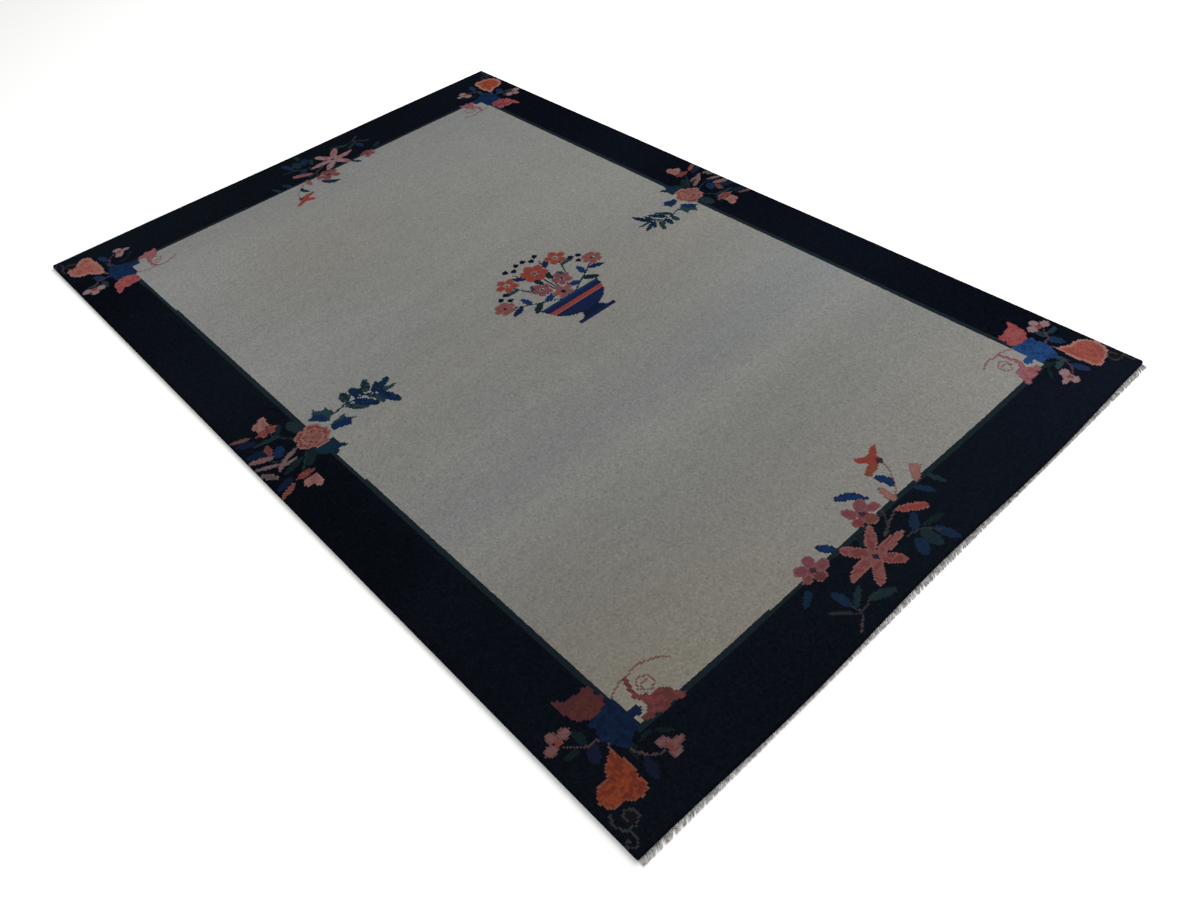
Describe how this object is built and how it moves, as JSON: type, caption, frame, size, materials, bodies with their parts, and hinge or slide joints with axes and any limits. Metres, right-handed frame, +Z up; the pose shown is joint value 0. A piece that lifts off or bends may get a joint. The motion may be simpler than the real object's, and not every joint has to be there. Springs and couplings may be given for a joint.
{
  "type": "chinese rug",
  "caption": "Flat hand-knotted wool rug with a dark border, a pale floral field and a short cotton fringe at each end; lies on a floor as a soft cover.",
  "frame": {"origin": "on the floor, under the middle of the rug's rectangle", "axes": "X across the rug, Y along its length from the near fringe to the far one, Z up out of the pile"},
  "size_m": [1.575, 2.4286, 0.0116],
  "materials": {
    "wool_pile": "clipped wool pile, matt with a soft sheen",
    "cotton_warp": "undyed twisted cotton, matt"
  },
  "bodies": {
    "root": {"knotted_slab": "wool_pile", "fringe_near": "cotton_warp", "fringe_far": "cotton_warp"}
  },
  "joints": []
}
